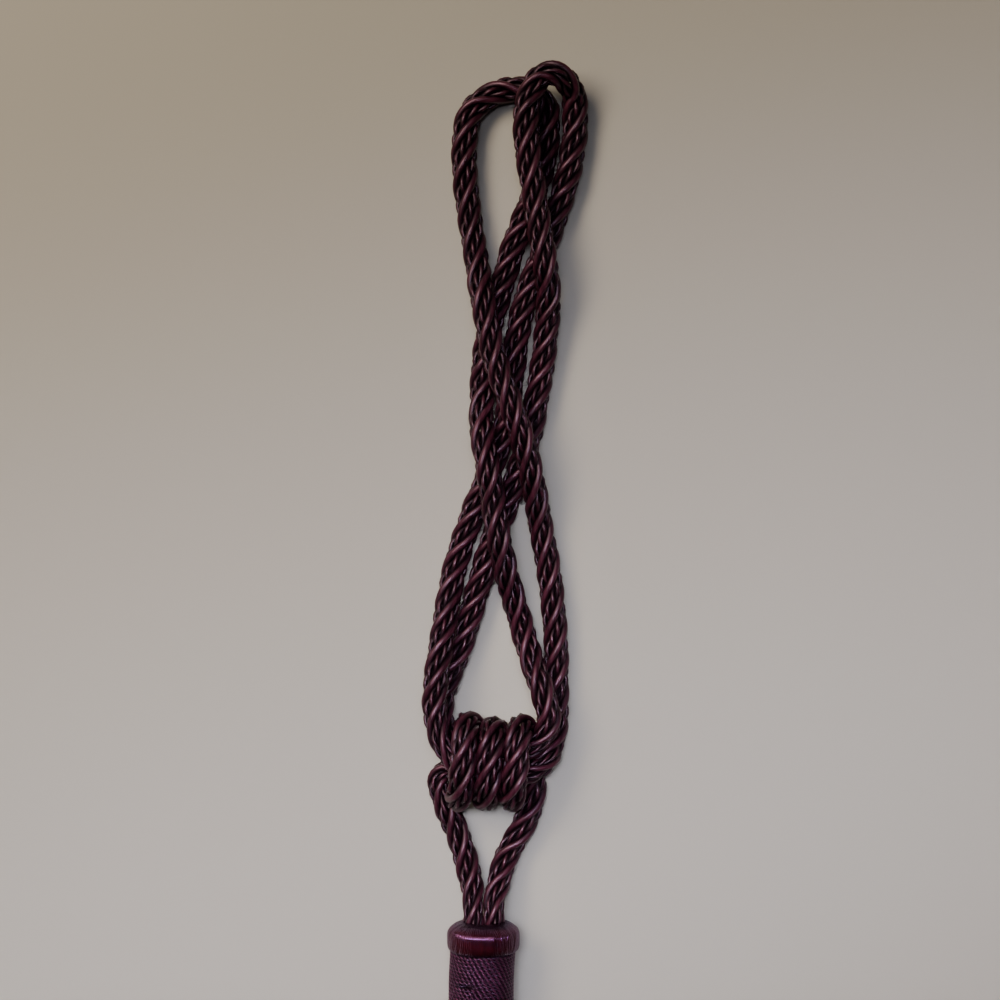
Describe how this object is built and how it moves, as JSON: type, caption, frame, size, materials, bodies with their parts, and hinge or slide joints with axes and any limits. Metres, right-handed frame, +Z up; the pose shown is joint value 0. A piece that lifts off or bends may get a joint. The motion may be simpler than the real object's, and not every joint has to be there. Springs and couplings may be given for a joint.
{
  "type": "curtain tieback tassel",
  "caption": "Twisted-rope curtain tieback lying flat: long rope loops held by a wound rope knot, with a hanging tassel that has a satin collar, a cord-wound barrel and a cut fringe skirt.",
  "frame": {"origin": "centre of the part's box at the surface it lies on", "axes": "+Y along the length, from the tassel to the loops; +Z up from the surface it lies on; +X to the right, seen from above with the loops away"},
  "size_m": [0.0753, 0.5704, 0.0368],
  "materials": {
    "rope_yarn": "lustrous dark burgundy rayon rope, plied",
    "satin_thread": "satin burgundy threads laid side by side",
    "winding_cord": "fine twisted burgundy cord, wound",
    "fringe_yarn": "cut burgundy rayon yarn"
  },
  "bodies": {
    "root": {"embrace_rope": "rope_yarn", "hanger_rope": "rope_yarn", "head_collar": "satin_thread", "head_barrel": "winding_cord", "skirt": "fringe_yarn"}
  },
  "joints": []
}
